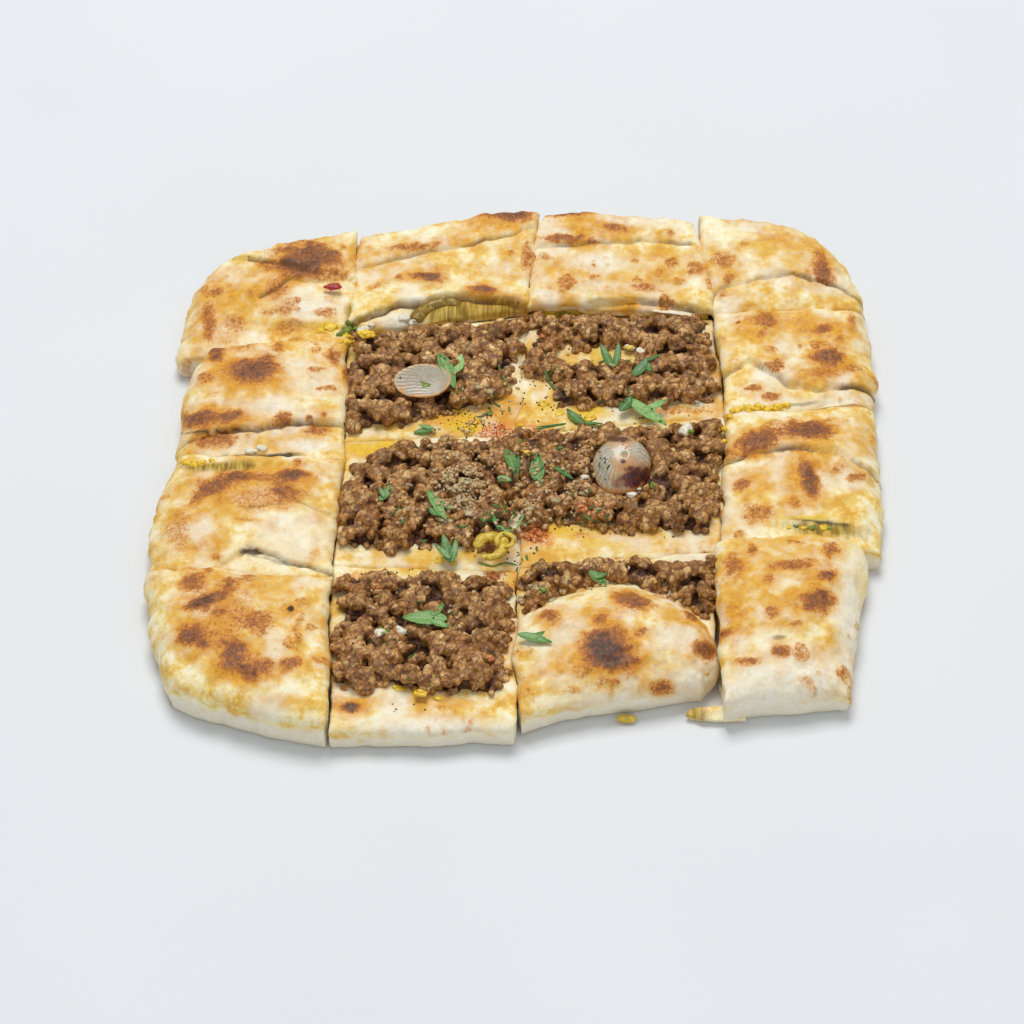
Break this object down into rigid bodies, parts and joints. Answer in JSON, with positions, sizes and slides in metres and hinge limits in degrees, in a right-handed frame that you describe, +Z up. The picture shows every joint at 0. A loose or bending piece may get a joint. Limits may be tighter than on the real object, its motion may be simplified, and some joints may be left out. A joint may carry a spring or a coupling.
{
  "type": "meat fatayer",
  "caption": "Square pie of thin folded flatbread filled with minced meat, baked in browned spots and cut in a grid of pieces that still lie together, with onion, egg and parsley",
  "frame": {"origin": "middle of the pie's outline, on the surface it lies on", "axes": "+Z up out of the pie, +X along its longer side, -Y towards the front row of pieces"},
  "size_m": [0.2926, 0.2862, 0.0294],
  "materials": {
    "dough": "baked dough, cream with golden and brown blisters, matt with a slight oily sheen",
    "filling": "moist yellow and green filling of egg, scallion and cheese",
    "meat": "browned minced meat, moist and crumbly",
    "onion": "soft translucent onion with browned edges",
    "parsley": "fresh green leaf",
    "tomato": "moist red tomato skin",
    "egg": "soft yellow egg and pepper"
  },
  "bodies": {
    "root": {"dough_r1c1": "dough", "dough_r1c2": "dough", "dough_r1c3": "dough", "dough_r1c4": "dough", "dough_r2c1": "dough", "dough_r2c2": "dough", "dough_r2c3": "dough", "dough_r2c4": "dough", "dough_r3c1": "dough", "dough_r3c2": "dough", "dough_r3c3": "dough", "dough_r3c4": "dough", "dough_r4c1": "dough", "dough_r4c2": "dough", "dough_r4c3": "dough", "dough_r4c4": "dough", "egg_bit": "egg", "egg_front": "egg", "filling_r1c1": "filling", "filling_r1c2": "filling", "filling_r1c3": "filling", "filling_r1c4": "filling", "filling_r2c1": "filling", "filling_r2c4": "filling", "filling_r3c1": "filling", "filling_r3c4": "filling", "filling_r4c1": "filling", "filling_r4c4": "filling", "leaf_01": "parsley", "leaf_02": "parsley", "leaf_03": "parsley", "leaf_04": "parsley", "leaf_05": "parsley", "leaf_06": "parsley", "leaf_07": "parsley", "leaf_08": "parsley", "leaf_09": "parsley", "leaf_10": "parsley", "leaf_11": "parsley", "leaf_12": "parsley", "leaf_13": "parsley", "leaf_14": "parsley", "leaf_15": "parsley", "meat_r2c2": "meat", "meat_r2c3": "meat", "meat_r3c2": "meat", "meat_r3c3": "meat", "meat_r4c2": "meat", "meat_r4c3": "meat", "onion_bit": "onion", "onion_petal": "onion", "onion_slice": "onion", "pepper_curl": "egg", "tomato_bit": "tomato"}
  },
  "joints": []
}
